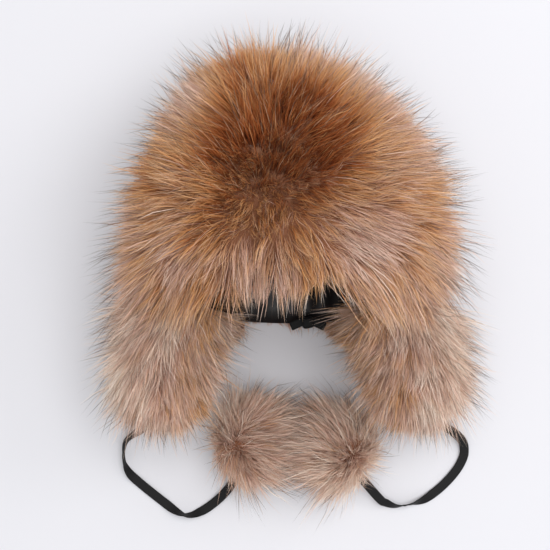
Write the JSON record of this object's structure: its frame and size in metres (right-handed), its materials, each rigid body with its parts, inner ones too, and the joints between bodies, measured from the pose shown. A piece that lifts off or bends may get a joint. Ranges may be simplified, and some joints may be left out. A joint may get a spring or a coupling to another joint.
{
  "type": "ushanka",
  "caption": "Long-furred ushanka lying on its back, with a lined crown, hanging ear flaps and flat ribbon ties that end in fur pompoms.",
  "frame": {"origin": "on the surface it lies on, under the middle of the crown and flaps", "axes": "+Y from the rim to the top of the crown, +Z from the nape up to the brow, +X to the side of the right-hand flap as seen from above the brow"},
  "size_m": [0.3152, 0.4035, 0.2513],
  "materials": {
    "fur": "long natural fur, russet underfur with pale bands and dark guard hairs",
    "lining": "smooth black lining cloth, slightly glossy",
    "ribbon": "matt black woven ribbon"
  },
  "bodies": {
    "root": {"crown_lining": "lining", "crown_fur": "fur", "ear_flap_left": "fur", "ear_flap_right": "fur", "drawstring_knot": "ribbon", "tie_left": "ribbon", "tie_right": "ribbon", "pompom_left": "fur", "pompom_right": "fur"}
  },
  "joints": []
}
